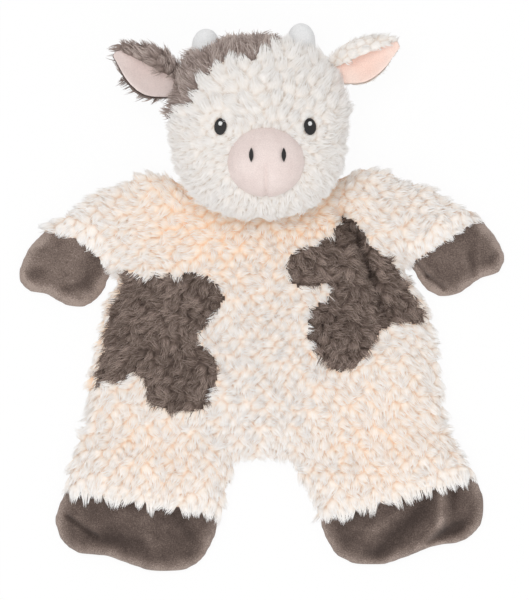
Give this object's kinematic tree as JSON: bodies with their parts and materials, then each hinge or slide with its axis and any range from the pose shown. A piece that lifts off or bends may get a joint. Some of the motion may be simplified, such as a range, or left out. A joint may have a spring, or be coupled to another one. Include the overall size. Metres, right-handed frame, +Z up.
{
  "type": "flat plush cow",
  "caption": "Flat floppy plush cow with a round stuffed head, a thinly padded fur body, folding limbs with dark hooves, spots and soft ears.",
  "frame": {"origin": "on the floor, under the middle of the torso, on the flat back that the toy lies on", "axes": "+Z up out of the face and belly, +Y to the head, +X to the viewer's right"},
  "size_m": [0.2918, 0.3286, 0.0897],
  "materials": {
    "cream_fur": "curly knit fur, cream",
    "white_fur": "curly knit fur, off-white",
    "brown_fur": "curly knit fur, brown",
    "light_brown_fur": "curly knit fur, grey-brown",
    "hoof_plush": "short-pile plush, dark brown",
    "pink_plush": "short-pile plush, pale pink",
    "peach_plush": "short-pile plush, peach",
    "horn_plush": "short-pile plush, white",
    "black_thread": "satin-stitch embroidery, black",
    "white_thread": "satin-stitch embroidery, white",
    "wadding": "loose polyester fibre"
  },
  "bodies": {
    "torso": {"torso_front": "cream_fur", "torso_back": "cream_fur", "torso_padding": "wadding", "patch_left": "brown_fur", "patch_right": "brown_fur"},
    "arm_left": {"arm_left_front": "cream_fur", "arm_left_back": "cream_fur", "arm_left_padding": "wadding"},
    "arm_right": {"arm_right_front": "cream_fur", "arm_right_back": "cream_fur", "arm_right_padding": "wadding"},
    "hand_left": {"hand_left_front": "hoof_plush", "hand_left_back": "hoof_plush", "hand_left_padding": "wadding"},
    "hand_right": {"hand_right_front": "hoof_plush", "hand_right_back": "hoof_plush", "hand_right_padding": "wadding"},
    "leg_left": {"leg_left_front": "cream_fur", "leg_left_back": "cream_fur", "leg_left_padding": "wadding"},
    "leg_right": {"leg_right_front": "cream_fur", "leg_right_back": "cream_fur", "leg_right_padding": "wadding"},
    "foot_left": {"foot_left_front": "hoof_plush", "foot_left_back": "hoof_plush", "foot_left_padding": "wadding"},
    "foot_right": {"foot_right_front": "hoof_plush", "foot_right_back": "hoof_plush", "foot_right_padding": "wadding"},
    "neck": {"neck": "cream_fur"},
    "head": {"head_front": "white_fur", "head_patch": "light_brown_fur", "head_back": "white_fur", "head_stuffing": "wadding", "muzzle_cover": "pink_plush", "muzzle_stuffing": "wadding", "nostril_left": "black_thread", "nostril_right": "black_thread", "eye_left": "black_thread", "eye_right": "black_thread", "eye_highlight_left": "white_thread", "eye_highlight_right": "white_thread", "horn_left": "horn_plush", "horn_left_stuffing": "wadding", "horn_right": "horn_plush", "horn_right_stuffing": "wadding"},
    "ear_left": {"ear_left_back": "light_brown_fur", "ear_left_lining": "pink_plush"},
    "ear_right": {"ear_right_back": "white_fur", "ear_right_lining": "peach_plush"}
  },
  "joints": [
    {"name": "shoulder_left", "type": "hinge", "parent": "torso", "child": "arm_left", "pos_m": [-0.0753, 0.0549, 0.003], "axis": [0.4144, 0.9101, 0], "range_deg": [-80, 65]},
    {"name": "shoulder_right", "type": "hinge", "parent": "torso", "child": "arm_right", "pos_m": [0.0753, 0.0549, 0.003], "axis": [0.4144, -0.9101, 0], "range_deg": [-80, 65]},
    {"name": "wrist_left", "type": "hinge", "parent": "arm_left", "child": "hand_left", "pos_m": [-0.11162, 0.04054, 0.003], "axis": [0.8339, -0.5518, 0], "range_deg": [-60, 60]},
    {"name": "wrist_right", "type": "hinge", "parent": "arm_right", "child": "hand_right", "pos_m": [0.10847, 0.04746, 0.003], "axis": [0.8339, 0.5518, 0], "range_deg": [-60, 60]},
    {"name": "hip_left", "type": "hinge", "parent": "torso", "child": "leg_left", "pos_m": [-0.06255, -0.0714, 0.003], "axis": [-0.9526, 0.3043, 0], "range_deg": [-80, 80]},
    {"name": "hip_right", "type": "hinge", "parent": "torso", "child": "leg_right", "pos_m": [0.06255, -0.0714, 0.003], "axis": [-0.9526, -0.3043, 0], "range_deg": [-80, 80]},
    {"name": "ankle_left", "type": "hinge", "parent": "leg_left", "child": "foot_left", "pos_m": [-0.07422, -0.10867, 0.003], "axis": [0.9878, -0.1559, 0], "range_deg": [-60, 60]},
    {"name": "ankle_right", "type": "hinge", "parent": "leg_right", "child": "foot_right", "pos_m": [0.07895, -0.10621, 0.003], "axis": [0.9642, 0.2651, 0], "range_deg": [-60, 60]},
    {"name": "neck_nod", "type": "hinge", "parent": "torso", "child": "neck", "pos_m": [-0.003, 0.084, 0.003], "axis": [1, 0, 0], "range_deg": [-60, 8]},
    {"name": "neck_turn", "type": "hinge", "parent": "neck", "child": "head", "pos_m": [-0.003, 0.084, 0.0083], "axis": [0, 1, 0], "range_deg": [-15, 15]},
    {"name": "ear_left", "type": "hinge", "parent": "head", "child": "ear_left", "pos_m": [-0.05087, 0.14152, 0.0375], "axis": [0.4695, 0.8829, 0], "range_deg": [-25, 25], "stiffness_Nm_per_rad": 0.02},
    {"name": "ear_right", "type": "hinge", "parent": "head", "child": "ear_right", "pos_m": [0.04097, 0.1491, 0.0375], "axis": [0.4067, -0.9135, 0], "range_deg": [-25, 25], "stiffness_Nm_per_rad": 0.02}
  ]
}
